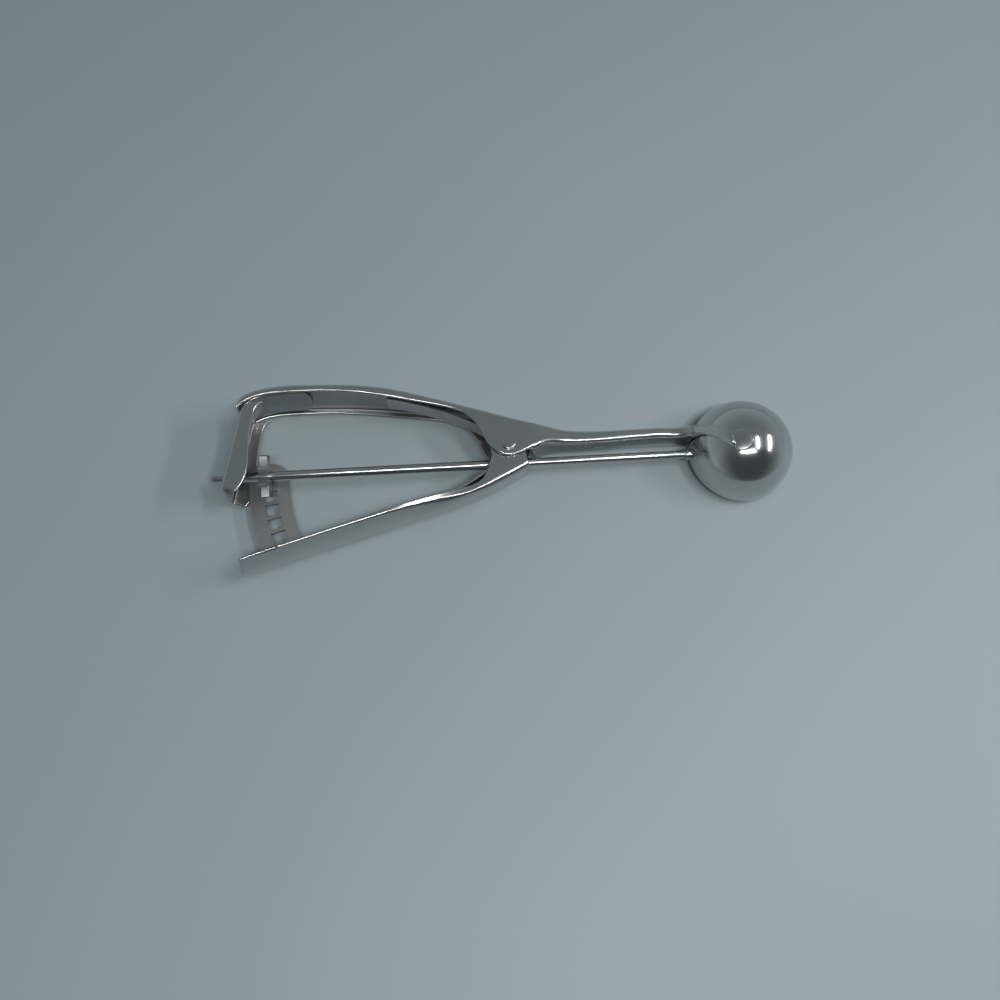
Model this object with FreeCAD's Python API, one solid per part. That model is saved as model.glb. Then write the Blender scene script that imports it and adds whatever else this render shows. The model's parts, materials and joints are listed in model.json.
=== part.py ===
import FreeCAD, Part
import math
import os

Vector = FreeCAD.Vector

# A squeeze-handle ice cream scoop. X runs along the drive rod towards the bowl, +Z is the dome's side,
# and the two handles open and close in the XY plane. Lengths are millimetres, angles are degrees.
# Every point below is measured from the bowl's centre, where the rod's axis is y = 0, z = 0.

# Handle sheet
sheet = 1.0               # thickness of both handles and of the neck
bendRadius = 1.8          # outside radius where the web turns into a flange
neckBendRadius = 1.08     # outside radius where the neck's top turns into its lower wall
gripHalfDepth = 8.75      # half the handles' depth at the rear
earHalfDepth = 6.2        # half the upper handle's depth at its ears
neckHalfDepth = 4.15      # half the neck's depth

# Bowl and blade
bowlRadius = 17.0         # outside of the bowl
bowlWall = 0.8
skirtDrop = 2.0           # straight skirt below the bowl's centre
bladeWall = 0.6
bladeWidth = 5.0
bladeGap = 0.3            # blade to the inside of the bowl
bladeRest = 9.0           # the blade's angle above the rim plane at rest
farPinRadius = 1.2
farPinHead = 2.0
farPinHeadHeight = 0.5
farPinStop = 0.6          # thickness of the collar behind the blade

# Drive rod and its bearings
rodRadius = 1.5
rodRear = -172.0          # rear end of the rod
runningFit = 0.05         # radial clearance of a shaft in its hole
pressFit = 0.01           # radial clearance of a piece fixed on its shaft
bearingRadius = 2.0
bearingLength = 2.4
bearingSeat = 0.6         # how far the collar reaches over the dome
rodChamfer = 0.25
rodSeat = 0.6             # how far the rod reaches through the blade
rearWasherRadius = 2.6
rearWasherLength = 0.5

# Pivot of the two handles
pivotX = -78.0
pivotY = 4.7
rivetRadius = 1.6
rivetHeadRadius = 2.2
rivetHeadHeight = 0.8
earGap = 0.15             # between the two handles' ears

# Rack and pinion
teeth = 8
toothPitch = 4.75
pinionX = -155.6
pinionWidth = 2.4
toothDepth = 3.0
toothTip = 0.9            # width of a tooth at its tip
toothRoot = 2.9           # width of a tooth at its root
toothAddendum = 1.05      # tooth above the pitch radius
toothSeat = 0.6           # how far a tooth starts inside the hub
rackWall = 1.2
barWidth = 1.1
windowLength = 4.6
innerStile = 3.9
outerStile = 4.1
rackTop = 6.6             # height of the rack's upper end above the rod's axis
windows = 6
rackLowEnd = 24.5         # lower end of the plate, as an angle below the mesh
rackFootAt = 21.0         # middle of its foot, as such an angle
rackEndRound = 0.42       # rounding of its upper end, as a share of its width
rackFootRound = 3.0

# Rear bracket
bracketWall = 0.8
bracketFootEnd = -141.0
bracketFootHalfWidth = 6.2
bracketFootLength = 21.6
bracketFootRound = 4.34   # rounding of the foot's free corners
bracketLidShare = 0.6     # share of the foot's wall that the flanges' tops reach into
bracketGap = 0.1          # bracket flange to handle flange
seatGap = 0.03            # between two sheets that are welded together

# Leaf spring
leafWall = 0.8
leafHalfWidth = 3.2
leafLoop = 1.75           # inside radius of the loop round the rivet
leafSlotHalf = 2.1        # half the slot that clears the rod
leafSlotLength = 12.0
leafAngle = 52.0          # where each leaf leaves the loop, from the neck's direction
leafReach = -116.0        # rear end of both leaves
upperKnee = (-97.0, 18.0) # a point on the free stretch of each leaf
lowerKnee = (-96.0, -9.3)
leafSeat = 0.3            # leaf end to the handle's web
leafSlotLead = 1.4        # how far the slot reaches ahead of the rivet

# Outside line of the upper handle's web, from its rear end to the neck's front end
upperWeb = [(-163.4, 21.2), (-162.3, 24.1), (-158.8, 26.2), (-142.0, 27.9), (-120.0, 26.4), (-97.0, 21.0),
            (-76.0, 14.0), (-60.0, 9.7), (-42.0, 8.7), (-20.0, 8.4)]
# Free edge of its flanges, from the rear end round the ear to the neck
upperEdge = [(-162.0, 21.0), (-159.6, 23.2), (-155.0, 24.6), (-146.0, 25.1), (-136.0, 25.0), (-122.0, 23.5),
             (-108.0, 20.9), (-97.0, 18.5), (-91.0, 15.8), (-87.3, 11.4), (-85.2, 6.3), (-82.4, 2.4), (-78.0, 0.6),
             (-74.0, 1.5), (-71.5, 2.5), (-69.2, 2.7)]
# The neck's lower wall, from the ear to the bowl
neckEdge = [(-69.2, 2.7), (-66.5, 4.1), (-61.0, 4.7), (-45.0, 4.7), (-20.0, 4.8)]
# Outside line of the lower handle's web, and its flanges' free edge, from the ear to the rear end
lowerWeb = [(-72.0, -3.1), (-80.0, -7.1), (-91.0, -11.9), (-110.0, -17.3), (-135.0, -24.0), (-161.6, -31.6)]
lowerEdge = [(-85.3, -3.6), (-87.8, -7.0), (-95.0, -9.6), (-119.0, -16.5), (-140.0, -22.8), (-160.8, -29.0)]
# The lower handle's ear: its front, top and rear points from the pivot
lowerEarCap = [(6.0, -1.5), (0.0, 5.0), (-6.4, -2.0)]
# How far the lower handle's hollow runs on past the front end of its web
hollowLead = (3.0, 1.9)
# The grip's hollow ends this far behind the neck's lower wall, and rises this much there
gripEndWall = 0.6
gripEndRise = 0.3
# The neck's hollow starts this far behind that end
troughOverlap = 12.0
# Where the handles narrow from the grip's depth to the ears', and the neck from the ears' to its own
gripTaper = (-130.0, -90.0)
neckTaper = (-71.5, -55.0)
# Side outline of the rear bracket: top and heel of its web, the flanges' toe, and the flare at their top
bracketTop = (-161.9, 23.6)
bracketHeel = (-167.9, -5.4)
bracketToe = [(-162.6, -7.4), (-161.2, -4.6), (-158.4, 17.5)]
bracketFlare = [(-157.4, 21.4), (-154.6, 23.9)]
# The neck's front end on its way up the dome: each row is x, the two sides in Y, and the rise of its top and
# of its foot from the neck's own
hoodRows = [(-17.0, 4.2, 7.9, 2.2, 1.0), (-12.6, 0.2, 5.4, 8.4, 4.15), (-8.2, -4.3, 0.9, 12.15, 6.15)]
hoodCorner = 1.1          # rounding of the hood's long edges outside, and inside
hoodInsideCorner = 0.4
hoodCover = 1.1           # least height of the hood's top above the dome
# The tongue on the dome: outline centre and radius seen from above, and its root under the hood
tongueRootX = -9.4
tongueRoot = (1.4, -4.6)
tongueX = -5.7
tongueY = -2.9
tongueRadius = 3.6

# Sizes worked out from those above
pitchRadius = teeth * toothPitch / (2 * math.pi)
rackRadius = math.hypot(pinionX - pivotX, pivotY)
driveRatio = rackRadius / pitchRadius
bladeSweep = 180.0 - 2 * bladeRest
handleSweep = bladeSweep / driveRatio
bowlInner = bowlRadius - bowlWall
bladeOuter = bowlInner - bladeGap
bladeInner = bladeOuter - bladeWall
lowerEarHalfDepth = earHalfDepth - sheet - earGap
far = 60.0


def line(a, b):
    return Part.LineSegment(Vector(a[0], a[1], 0), Vector(b[0], b[1], 0)).toShape()


def spline(points):
    curve = Part.BSplineCurve()
    curve.interpolate([Vector(x, y, 0) for x, y in points])
    return curve


def shifted(points, distance):
    """Each point moved square to the curve through them, to the left of its direction."""
    curve = spline(points)
    moved = []
    for x, y in points:
        tangent = curve.tangent(curve.parameter(Vector(x, y, 0)))[0]
        moved.append((x - tangent.y * distance, y + tangent.x * distance))
    return moved


def besideLine(points, x, distance):
    """The point at x on the curve through the points, moved square to it, to the left of its direction."""
    curve = spline(points)
    low, high = curve.FirstParameter, curve.LastParameter
    rising = points[-1][0] > points[0][0]
    for halving in range(40):
        middle = (low + high) / 2
        if (curve.value(middle).x < x) == rising:
            low = middle
        else:
            high = middle
    spot = curve.value(low)
    along = curve.tangent(low)[0]
    return (spot.x - along.y * distance, spot.y + along.x * distance), along


def slab(edges, low, high):
    """The closed outline's face, extruded from low to high along Z."""
    face = Part.Face(Part.Wire(Part.__sortEdges__(edges)))
    face.translate(Vector(0, 0, low))
    return face.extrude(Vector(0, 0, high - low))


def tube(radius, start, length, axis=Vector(1, 0, 0)):
    return Part.makeCylinder(radius, length, start, axis)


def sTaper(start, end):
    """A curve from one flat line to another, level at both ends."""
    middle = (start[0] + end[0]) / 2
    poles = [start, (middle, start[1]), (middle, end[1]), end]
    curve = Part.BezierCurve()
    curve.setPoles([Vector(x, y, 0) for x, y in poles])
    return curve.toShape()


def depthLine(rear, ear, neck, side):
    """Half depth along X on one side: flat grip, taper, flat ears and, where there is a neck, taper and flat."""
    points = [(-far * 3, rear * side), (gripTaper[0], rear * side), (gripTaper[1], ear * side)]
    edges = [line(points[0], points[1]), sTaper(points[1], points[2])]
    last = points[2]
    if neck:
        points += [(neckTaper[0], ear * side), (neckTaper[1], neck * side)]
        edges += [line(points[2], points[3]), sTaper(points[3], points[4])]
        last = points[4]
    end = (0.0, last[1])
    return edges + [line(last, end)], points[0], end


def depthBody(ear, neck, inset, openBelow=False):
    """The space between a handle's two flanges, shrunk by inset, or open below its upper flange."""
    sizes = (gripHalfDepth - inset, ear - inset, neck - inset if neck else 0)
    edges, first, last = depthLine(*sizes, 1)
    if openBelow:
        lower = [line((first[0], -far), (last[0], -far))]
        below = ((first[0], -far), (last[0], -far))
    else:
        lower, *below = depthLine(*sizes, -1)
    body = slab(edges + lower + [line(first, below[0]), line(last, below[1])], -2 * far, 2 * far)
    body.rotate(Vector(0, 0, 0), Vector(1, 0, 0), 90)
    return body


def filletAlong(body, points, radius, sides):
    """Rounds the long edges of a body that run along a line of points, on the named sides of z = 0."""
    curve = spline(points).toShape()
    chosen = []
    for edge in body.Edges:
        span = edge.LastParameter - edge.FirstParameter
        spots = [edge.valueAt(edge.FirstParameter + span * part) for part in (0.25, 0.5, 0.75)]
        near = all(Part.Vertex(spot.x, spot.y, 0).distToShape(curve)[0] < 0.1 for spot in spots)
        if near and any(all(spot.z * side > 1 for spot in spots) for side in sides):
            chosen.append(edge)
    return body.makeFillet(radius, chosen)


def upperHandle():
    """Grip channel, ears and neck in one stamping, with the hood and tongue that seat on the dome."""
    neckFront = [upperWeb[-1], neckEdge[-1]]
    edges = [spline(upperWeb).toShape(), spline(upperEdge).toShape(), spline(neckEdge).toShape()]
    edges += [line(*neckFront), line(upperWeb[0], upperEdge[0])]
    body = slab(edges, -far, far).common(depthBody(earHalfDepth, neckHalfDepth, 0.0))
    body = filletAlong(body, upperWeb, bendRadius, [1, -1])
    body = filletAlong(body, neckEdge, neckBendRadius, [1])
    # The grip's hollow, open towards the lower handle
    inner = shifted(upperWeb[:-3], -sheet)
    gripEnd = neckEdge[0][0] - gripEndWall
    inner = [point for point in inner if point[0] < gripEnd] + [(gripEnd, inner[-1][1] + gripEndRise)]
    hollow = slab([spline(inner).toShape(), line(inner[0], (inner[0][0], -far)),
                   line((inner[0][0], -far), (gripEnd, -far)), line((gripEnd, -far), inner[-1])], -far, far)
    hollow = hollow.common(depthBody(earHalfDepth, neckHalfDepth, sheet))
    hollow = filletAlong(hollow, inner, bendRadius - sheet, [1, -1])
    # The neck's hollow, open away from the dome
    outside = [point for point in shifted(upperWeb, -sheet) if point[0] > gripEnd - troughOverlap]
    inside = shifted(neckEdge, sheet)
    trough = slab([spline(outside).toShape(), spline(inside).toShape(), line(outside[0], inside[0]),
                   line(outside[-1], inside[-1])], -far, far)
    trough = trough.common(depthBody(earHalfDepth, neckHalfDepth, sheet, openBelow=True))
    body = body.cut(hollow).cut(trough)
    body = body.cut(tube(rivetRadius + pressFit, Vector(pivotX, pivotY, -far), 2 * far, Vector(0, 0, 1)))
    return body.fuse([neckHood(), tongue()]).removeSplitter()


def hoodSection(x, low, high, top, bottom, corner):
    """One rounded hood section in the plane x, from low to high in Y, with round shoulders at the top."""
    start = Vector(x, low, bottom)
    shoulder = corner * (1 - math.sqrt(0.5))
    points = [start, Vector(x, low, top - corner), Vector(x, low + shoulder, top - shoulder),
              Vector(x, low + corner, top), Vector(x, high - corner, top),
              Vector(x, high - shoulder, top - shoulder), Vector(x, high, top - corner), Vector(x, high, bottom)]
    edges = [Part.LineSegment(points[0], points[1]).toShape(), Part.Arc(points[1], points[2], points[3]).toShape(),
             Part.LineSegment(points[3], points[4]).toShape(), Part.Arc(points[4], points[5], points[6]).toShape(),
             Part.LineSegment(points[6], points[7]).toShape(), Part.LineSegment(points[7], points[0]).toShape()]
    return Part.Wire(edges)


def neckHood():
    """The neck's front end, which climbs the dome and bends down onto it."""
    rows = [(neckEdge[-1][0], neckEdge[-1][1], upperWeb[-1][1], neckHalfDepth, -neckHalfDepth)]
    for x, low, high, rise, footRise in hoodRows:
        under = bowlRadius ** 2 - x ** 2 - ((low + high) / 2) ** 2
        peak = max(neckHalfDepth + rise, math.sqrt(max(under, 0.0)) + hoodCover)
        rows.append((x, low, high, peak, footRise - neckHalfDepth))
    outer = Part.makeLoft([hoodSection(*row, hoodCorner) for row in rows], True, False)
    inner = Part.makeLoft([hoodSection(x, low + sheet, high - sheet, peak - sheet, foot - sheet, hoodInsideCorner)
                           for x, low, high, peak, foot in rows], True, False)
    return outer.cut(inner).cut(bowlEnvelope())


def bowlEnvelope():
    """The bowl's outside, continued below its rim."""
    return Part.makeSphere(bowlRadius).fuse(tube(bowlRadius, Vector(0, 0, -far), far, Vector(0, 0, 1)))


def tongue():
    """A strip of the dome's own shape, with a round end, welded to the bowl."""
    shell = Part.makeSphere(bowlRadius + sheet).cut(Part.makeSphere(bowlRadius))
    end = tube(tongueRadius, Vector(tongueX, tongueY, 0), far, Vector(0, 0, 1))
    root = [Vector(tongueRootX, y, 0) for y in tongueRoot]
    strip = Part.makePolygon([root[0], Vector(tongueX, tongueY + tongueRadius, 0),
                              Vector(tongueX, tongueY - tongueRadius, 0), root[1], root[0]])
    outline = end.fuse(Part.Face(strip).extrude(Vector(0, 0, far)))
    return shell.common(outline)


def lowerHandle():
    """Lower grip channel with ears inside the upper handle's ears."""
    top = [(pivotX + x, pivotY + y) for x, y in lowerEarCap]
    cap = Part.Arc(*[Vector(*point) for point in top]).toShape()
    edges = [spline(lowerWeb).toShape(), line(lowerWeb[0], top[0]), cap, line(top[2], lowerEdge[0]),
             spline(lowerEdge).toShape(), line(lowerEdge[-1], lowerWeb[-1])]
    body = slab(edges, -far, far).common(depthBody(lowerEarHalfDepth, 0, 0.0))
    body = filletAlong(body, lowerWeb, bendRadius, [1, -1])
    inner = shifted(lowerWeb, -sheet)
    inner = [(inner[0][0] + hollowLead[0], inner[0][1] + hollowLead[1])] + inner[1:]
    hollow = slab([spline(inner).toShape(), line(inner[0], (inner[0][0], far)),
                   line((inner[0][0], far), (inner[-1][0], far)), line((inner[-1][0], far), inner[-1])], -far, far)
    hollow = hollow.common(depthBody(lowerEarHalfDepth, 0, sheet))
    hollow = filletAlong(hollow, inner, bendRadius - sheet, [1, -1])
    body = body.cut(hollow)
    return body.cut(tube(rivetRadius + runningFit, Vector(pivotX, pivotY, -far), 2 * far, Vector(0, 0, 1)))


def bowl():
    """Spun hemisphere with a short skirt, pierced at both ends of the rod's axis."""
    profile = Part.Wire([
        Part.LineSegment(Vector(bowlRadius, 0, -skirtDrop), Vector(bowlRadius, 0, 0)).toShape(),
        Part.Arc(Vector(bowlRadius, 0, 0), Vector(bowlRadius * math.sqrt(0.5), 0, bowlRadius * math.sqrt(0.5)),
                 Vector(0, 0, bowlRadius)).toShape(),
        Part.LineSegment(Vector(0, 0, bowlRadius), Vector(0, 0, bowlInner)).toShape(),
        Part.Arc(Vector(0, 0, bowlInner), Vector(bowlInner * math.sqrt(0.5), 0, bowlInner * math.sqrt(0.5)),
                 Vector(bowlInner, 0, 0)).toShape(),
        Part.LineSegment(Vector(bowlInner, 0, 0), Vector(bowlInner, 0, -skirtDrop)).toShape(),
        Part.LineSegment(Vector(bowlInner, 0, -skirtDrop), Vector(bowlRadius, 0, -skirtDrop)).toShape()])
    body = Part.Face(profile).revolve(Vector(0, 0, 0), Vector(0, 0, 1), 360)
    body = body.cut(tube(rodRadius + runningFit, Vector(-far, 0, 0), far))
    return body.cut(tube(farPinRadius + pressFit, Vector(0, 0, 0), far))


def rodBearing():
    """Collar on the outside of the bowl that carries the rod's front end."""
    body = tube(bearingRadius, Vector(-bowlRadius - bearingLength + bearingSeat, 0, 0), bearingLength)
    body = body.cut(tube(rodRadius + runningFit, Vector(-far, 0, 0), far))
    return body.cut(bowlEnvelope())


def driveRod():
    """Straight round rod from behind the rear bracket to the blade's rear hub."""
    front = -bladeInner + rodSeat
    body = tube(rodRadius, Vector(rodRear, 0, 0), front - rodRear)
    ends = [edge for edge in body.Edges if edge.Length < 2 * math.pi * rodRadius + 0.1 and edge.isClosed()]
    return body.makeChamfer(rodChamfer, ends)


def pinion():
    """Star gear: straight tapered teeth round a hub, one tooth pointing down at rest."""
    tip = pitchRadius + toothAddendum
    root = tip - toothDepth
    start = Vector(pinionX - pinionWidth / 2, 0, 0)
    body = tube(root, start, pinionWidth)
    tooth = Part.makePolygon([Vector(0, -toothRoot / 2, -root + toothSeat), Vector(0, -toothRoot / 2, -root),
                              Vector(0, -toothTip / 2, -tip), Vector(0, toothTip / 2, -tip),
                              Vector(0, toothRoot / 2, -root), Vector(0, toothRoot / 2, -root + toothSeat),
                              Vector(0, -toothRoot / 2, -root + toothSeat)])
    tooth = Part.Face(tooth).extrude(Vector(pinionWidth, 0, 0))
    tooth.translate(start)
    for number in range(teeth):
        copy = tooth.copy()
        copy.rotate(Vector(0, 0, 0), Vector(1, 0, 0), number * 360.0 / teeth)
        body = body.fuse(copy)
    return body.removeSplitter().cut(tube(rodRadius + pressFit, Vector(-4 * far, 0, 0), 8 * far))


def bracketFace():
    """Side outline of the rear bracket's two flanges, leaning back as it comes down."""
    corners = [bracketTop, bracketHeel] + bracketToe
    edges = [line(a, b) for a, b in zip(corners[:-1], corners[1:])]
    flare = Part.Arc(*[Vector(x, y, 0) for x, y in [corners[-1]] + bracketFlare]).toShape()
    return edges + [flare, line(bracketFlare[-1], bracketTop)]


def rearBracket():
    """Channel that hangs from the upper handle's rear end and carries the rod, with a welded foot."""
    halfWidth = gripHalfDepth - sheet - bracketGap
    body = slab(bracketFace(), -halfWidth, halfWidth)
    lean = (bracketTop[0] - bracketHeel[0]) / (bracketTop[1] - bracketHeel[1])
    start = bracketTop[0] + bracketWall * math.hypot(1, lean)
    hollow = [(start + lean * (y - bracketTop[1]), y) for y in (far, -far)]
    hollow += [(0.0, -far), (0.0, far), hollow[0]]
    inner = slab([line(a, b) for a, b in zip(hollow[:-1], hollow[1:])], -halfWidth + bracketWall,
                 halfWidth - bracketWall)
    body = body.cut(inner)
    outer = shifted(upperWeb[:6], -sheet - seatGap)
    under = shifted(upperWeb[:6], -sheet - seatGap - bracketWall)
    lid = shifted(upperWeb[:6], -sheet - seatGap - bracketWall * bracketLidShare)
    roof = [lid[0], (lid[0][0] - far, lid[0][1]), (lid[0][0] - far, far), (lid[-1][0], far), lid[-1]]
    above = slab([spline(lid).toShape()] + [line(a, b) for a, b in zip(roof[:-1], roof[1:])], -far, far)
    body = body.cut(above)
    foot = slab([spline(outer).toShape(), spline(under).toShape(), line(outer[0], under[0]),
                 line(outer[-1], under[-1])], -bracketFootHalfWidth, bracketFootHalfWidth)
    window = Part.makeBox(bracketFootLength, far, 2 * bracketFootHalfWidth,
                          Vector(bracketFootEnd - bracketFootLength, 0, -bracketFootHalfWidth))
    corners = [edge for edge in window.Edges if edge.Length > far - 1 and edge.CenterOfMass.x > bracketFootEnd - 1]
    foot = foot.common(window.makeFillet(bracketFootRound, corners))
    body = body.fuse(foot).removeSplitter()
    return body.cut(tube(rodRadius + runningFit, Vector(-4 * far, 0, 0), 4 * far))


def rackPoint(radius, degrees):
    """A point at a radius from the pivot, at an angle below the mesh with the pinion."""
    angle = math.atan2(pivotY, pivotX - pinionX) + math.radians(degrees)
    return (pivotX - radius * math.cos(angle), pivotY - radius * math.sin(angle))


def sector(inside, outside, first, last, low, high):
    """A plate between two radii and two angles about the handles' pivot."""
    middle = (first + last) / 2
    points = [rackPoint(inside, first), rackPoint(inside, middle), rackPoint(inside, last),
              rackPoint(outside, last), rackPoint(outside, middle), rackPoint(outside, first)]
    corners = [Vector(x, y, 0) for x, y in points]
    edges = [Part.Arc(*corners[:3]).toShape(), Part.LineSegment(corners[2], corners[3]).toShape(),
             Part.Arc(*corners[3:]).toShape(), Part.LineSegment(corners[5], corners[0]).toShape()]
    return slab(edges, low, high)


def gearRack():
    """Curved ladder plate under the pinion, with a foot bent along the lower handle's web."""
    inside = rackRadius - windowLength / 2 - innerStile
    outside = rackRadius + windowLength / 2 + outerStile
    step = math.degrees(toothPitch / rackRadius)
    half = math.degrees((toothPitch - barWidth) / 2 / rackRadius)
    top = -math.degrees(rackTop / rackRadius)
    low = -pitchRadius - rackWall / 2
    high = low + rackWall
    seat = shifted(lowerWeb, -sheet - seatGap)
    above = shifted(lowerWeb, -sheet - seatGap - rackWall)
    body = sector(inside, outside, top, rackLowEnd, low, high)
    upright = [edge for edge in body.Edges if abs(edge.Length - rackWall) < 0.01 and edge.CenterOfMass.y > 0]
    body = body.makeFillet((outside - inside) * rackEndRound, upright)
    for number in range(windows):
        middle = number * step
        body = body.cut(sector(rackRadius - windowLength / 2, rackRadius + windowLength / 2,
                               middle - half, middle + half, low - 1, high + 1))
    floor = slab([spline(seat).toShape(), line(seat[0], (seat[0][0], -far)),
                  line((seat[0][0], -far), (seat[-1][0], -far)), line((seat[-1][0], -far), seat[-1])], -far, far)
    body = body.cut(floor)
    foot = slab([spline(seat).toShape(), spline(above).toShape(), line(seat[0], above[0]),
                 line(seat[-1], above[-1])], low, bracketFootHalfWidth)
    left = rackPoint(outside, rackFootAt)[0]
    right = rackPoint(inside, rackFootAt)[0]
    window = Part.makeBox(right - left, far, bracketFootHalfWidth - low, Vector(left, -far, low))
    corners = [edge for edge in window.Edges
               if edge.Length > far - 1 and edge.CenterOfMass.z > 0]
    foot = foot.common(window.makeFillet(rackFootRound, corners))
    return body.fuse(foot).removeSplitter()


def rodWasher():
    """Washer on the rod between the bracket and the pinion."""
    start = pinionX - pinionWidth / 2 - rearWasherLength
    body = tube(rearWasherRadius, Vector(start, 0, 0), rearWasherLength)
    return body.cut(tube(rodRadius + pressFit, Vector(-4 * far, 0, 0), 8 * far))


def sweeperBlade():
    """Half-round band inside the bowl with a hub at each end of the rod's axis."""
    shell = Part.makeSphere(bladeOuter).cut(Part.makeSphere(bladeInner))
    band = Part.makeBox(2 * far, far, bladeWidth, Vector(-far, 0, -bladeWidth / 2))
    hub = tube(bladeWidth / 2, Vector(-far, 0, 0), 2 * far)
    body = shell.common(band.fuse(hub))
    body = body.cut(tube(rodRadius + pressFit, Vector(-far, 0, 0), far))
    body = body.cut(tube(farPinRadius + runningFit, Vector(0, 0, 0), far))
    body.rotate(Vector(0, 0, 0), Vector(1, 0, 0), bladeRest)
    return body


def farPin():
    """Pin that the blade's far hub turns on, with a low head outside the bowl."""
    inside = bladeInner - 0.5
    body = tube(farPinRadius, Vector(inside, 0, 0), bowlRadius - inside + 0.2)
    collar = tube(farPinHead, Vector(bowlRadius - 0.4, 0, 0), 0.4 + farPinHeadHeight)
    body = body.fuse(collar.cut(bowlEnvelope()))
    stop = tube(farPinHead, Vector(bladeInner - 1.0, 0, 0), farPinStop).cut(Part.makeSphere(bladeOuter).cut(
        Part.makeSphere(bladeInner - 0.1)))
    return body.fuse(stop).removeSplitter()


def pivotRivet():
    """Rivet through both pairs of ears, with a low domed head at each end."""
    seat = earHalfDepth
    body = tube(rivetRadius, Vector(pivotX, pivotY, -seat - 0.2), 2 * seat + 0.4, Vector(0, 0, 1))
    for side in (1, -1):
        head = tube(rivetHeadRadius, Vector(pivotX, pivotY, side * seat), rivetHeadHeight, Vector(0, 0, side))
        rim = [edge for edge in head.Edges if abs(edge.CenterOfMass.z) > seat + rivetHeadHeight - 0.01]
        body = body.fuse(head.makeFillet(rivetHeadHeight * 0.6, rim))
    return body.removeSplitter()


def leaf(web, angle, knee):
    """One leaf's middle line, from its tangent point on the loop round the rivet to its seat on a handle's web."""
    loop = leafLoop + leafWall / 2
    side = math.copysign(1, angle)
    turn = math.radians(angle)
    start = Vector(pivotX + loop * math.cos(turn), pivotY + loop * math.sin(turn), 0)
    direction = Vector(-math.sin(turn) * side, math.cos(turn) * side, 0)
    tip, along = besideLine(web, leafReach, -sheet - leafSeat - leafWall / 2)
    curve = Part.BSplineCurve()
    curve.interpolate(Points=[start, Vector(*knee, 0), Vector(*tip, 0)], InitialTangent=direction,
                      FinalTangent=along * math.copysign(1, -along.x))
    return curve


def thickened(curve, count=9):
    """A curve's strip of the leaf's thickness, square to it at each of its points."""
    first, last = curve.FirstParameter, curve.LastParameter
    sides = [[], []]
    for number in range(count):
        spot = first + (last - first) * number / (count - 1)
        middle = curve.value(spot)
        along = curve.tangent(spot)[0]
        for side, points in zip((1, -1), sides):
            points.append((middle.x - along.y * side * leafWall / 2, middle.y + along.x * side * leafWall / 2))
    ends = [line(sides[0][0], sides[1][0]), line(sides[0][-1], sides[1][-1])]
    return slab([spline(points).toShape() for points in sides] + ends, -leafHalfWidth, leafHalfWidth)


def leafSpring():
    """Flat steel strip bent round the rivet, one leaf against each handle's web."""
    upper = thickened(leaf(upperWeb, leafAngle, upperKnee))
    lower = thickened(leaf(lowerWeb, -leafAngle, lowerKnee))
    middle = Vector(pivotX, pivotY, -leafHalfWidth)
    ring = tube(leafLoop + leafWall, middle, 2 * leafHalfWidth, Vector(0, 0, 1))
    ring = ring.cut(tube(leafLoop, middle, 2 * leafHalfWidth, Vector(0, 0, 1)))
    turn = math.radians(leafAngle)
    corners = [(pivotX, pivotY), (pivotX + far * math.cos(turn), pivotY + far * math.sin(turn)),
               (pivotX + far * math.cos(turn), pivotY - far * math.sin(turn))]
    wedge = slab([line(corners[0], corners[1]), line(corners[1], corners[2]), line(corners[2], corners[0])],
                 -leafHalfWidth, leafHalfWidth)
    strip = ring.common(wedge).fuse([upper, lower]).removeSplitter()
    slot = Part.makeBox(leafSlotLength, 2 * leafSlotHalf, 2 * leafSlotHalf,
                        Vector(pivotX - leafSlotLength + leafSlotLead, -leafSlotHalf, -leafSlotHalf))
    return strip.cut(slot)


def main():
    shapes = {"upper_handle": upperHandle(), "lower_handle": lowerHandle(), "bowl": bowl(),
              "rod_bearing": rodBearing(), "drive_rod": driveRod(), "pinion": pinion(),
              "rear_bracket": rearBracket(), "gear_rack": gearRack(), "rod_washer": rodWasher(),
              "sweeper_blade": sweeperBlade(), "blade_far_pin": farPin(), "pivot_rivet": pivotRivet(),
              "leaf_spring": leafSpring()}
    # The origin goes to the middle of the bottom of the whole tool's box
    box = Part.makeCompound(list(shapes.values())).optimalBoundingBox(False, False)
    home = Vector(-(box.XMin + box.XMax) / 2, -(box.YMin + box.YMax) / 2, -box.ZMin)
    os.makedirs("parts", exist_ok=True)
    for name, shape in shapes.items():
        shape.translate(home)
        print(name, "solids", len(shape.Solids), "valid", shape.isValid(), "volume", round(shape.Volume, 2))
        shape.exportStep("parts/" + name + ".step")
    print("home", round(home.x, 4), round(home.y, 4), round(home.z, 4))
    print("pitch radius", round(pitchRadius, 4), "rack radius", round(rackRadius, 4))
    print("drive ratio", round(driveRatio, 5), "handle sweep", round(handleSweep, 3))
    print("box", [round(value, 3) for value in (box.XLength, box.YLength, box.ZLength)])


main()
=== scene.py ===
import bpy
import bmesh
import json
import math
import numpy as np
from mathutils import Euler, Matrix, Vector


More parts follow.
